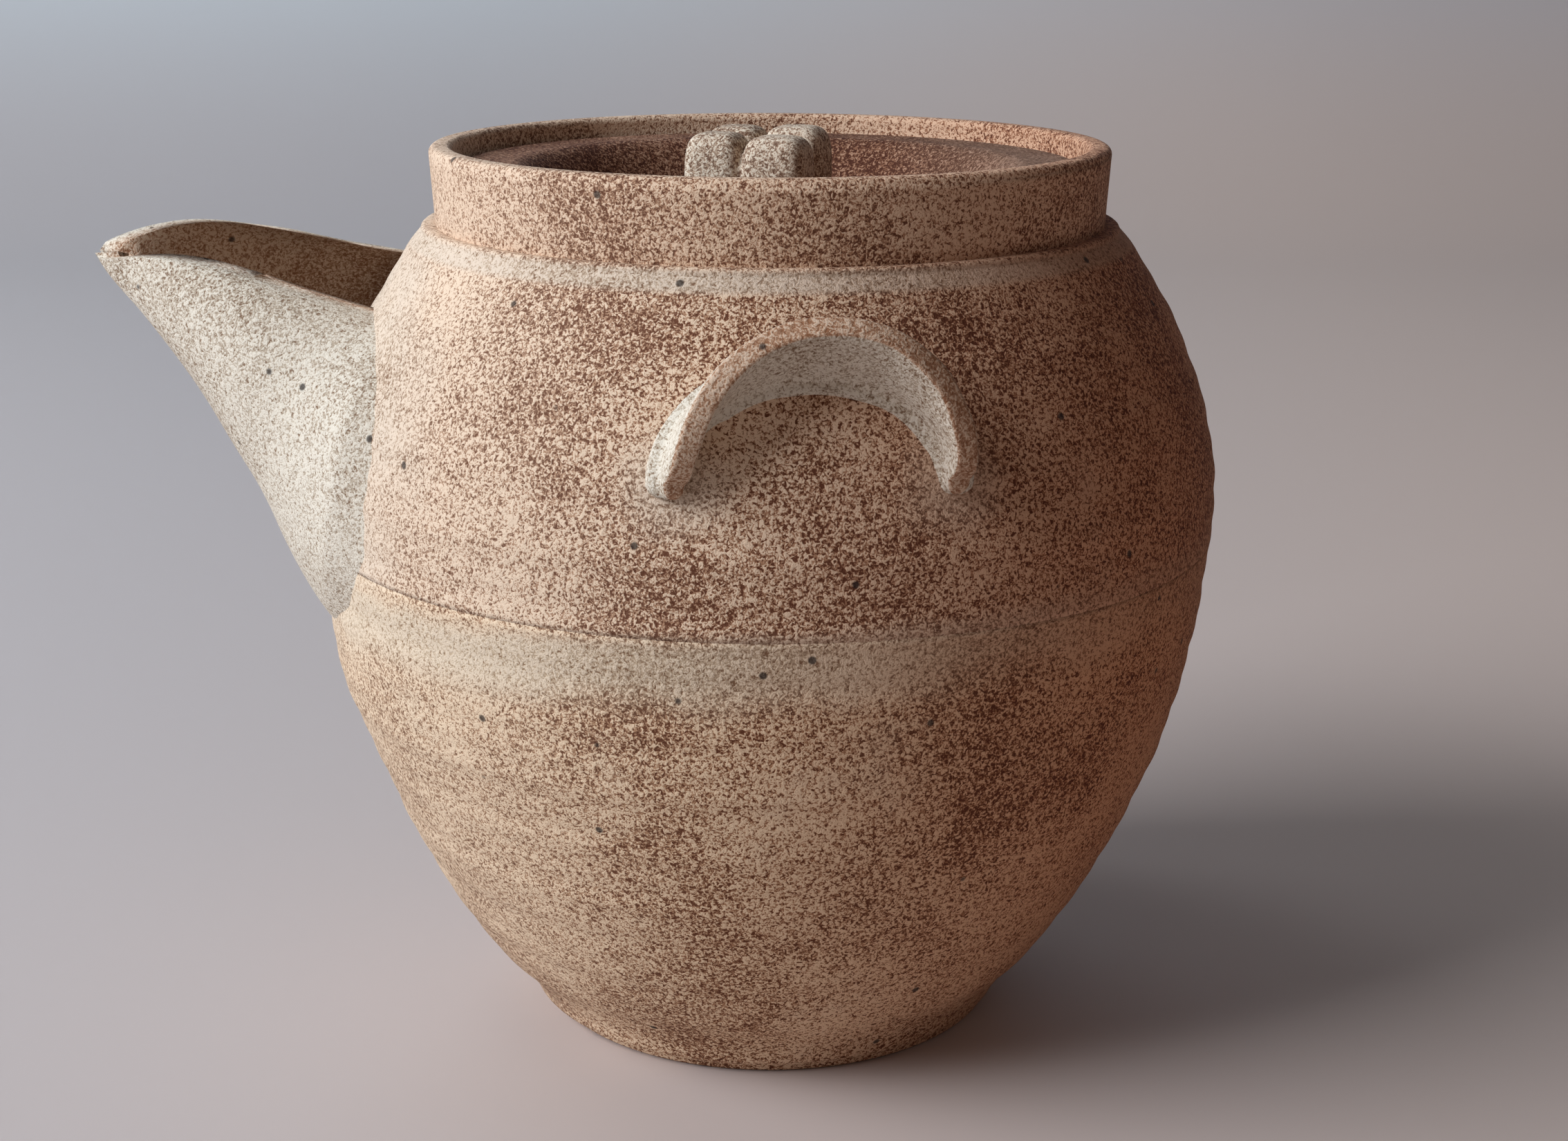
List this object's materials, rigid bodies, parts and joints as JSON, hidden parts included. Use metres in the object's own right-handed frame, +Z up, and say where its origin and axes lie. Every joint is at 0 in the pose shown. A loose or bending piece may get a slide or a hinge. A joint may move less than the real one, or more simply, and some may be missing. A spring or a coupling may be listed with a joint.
{
  "type": "teapot",
  "caption": "Small unglazed stoneware teapot with an open beak spout, lug ears on the shoulder and a sunken dished lid with a cut knob.",
  "frame": {"origin": "middle of the flat foot, on the pot's axis", "axes": "+Z up along the pot's axis, the spout points along -X, the ears stand on the -Y and +Y sides"},
  "size_m": [0.1176, 0.098, 0.0951],
  "materials": {
    "bowl_clay": "unglazed, sandy, speckled orange-brown",
    "shoulder_clay": "unglazed, sandy, speckled purple-brown",
    "collar_clay": "unglazed, sandy, speckled",
    "spout_clay": "unglazed, pale, sandy",
    "strainer_clay": "unglazed",
    "ear_clay": "unglazed, pale, sandy",
    "lid_clay": "unglazed, sandy, grey-brown",
    "knob_clay": "unglazed, sandy, grey speckle"
  },
  "bodies": {
    "pot": {"lower_bowl": "bowl_clay", "shoulder": "shoulder_clay", "neck_collar": "collar_clay", "spout": "spout_clay", "strainer": "strainer_clay", "ear_near": "ear_clay", "ear_far": "ear_clay"},
    "lid": {"lid_dish": "lid_clay", "lid_knob": "knob_clay"}
  },
  "joints": [
    {"name": "lid_lift", "type": "slide", "parent": "pot", "child": "lid", "axis": [0, 0, 1], "range_m": [0, 0.06]}
  ]
}
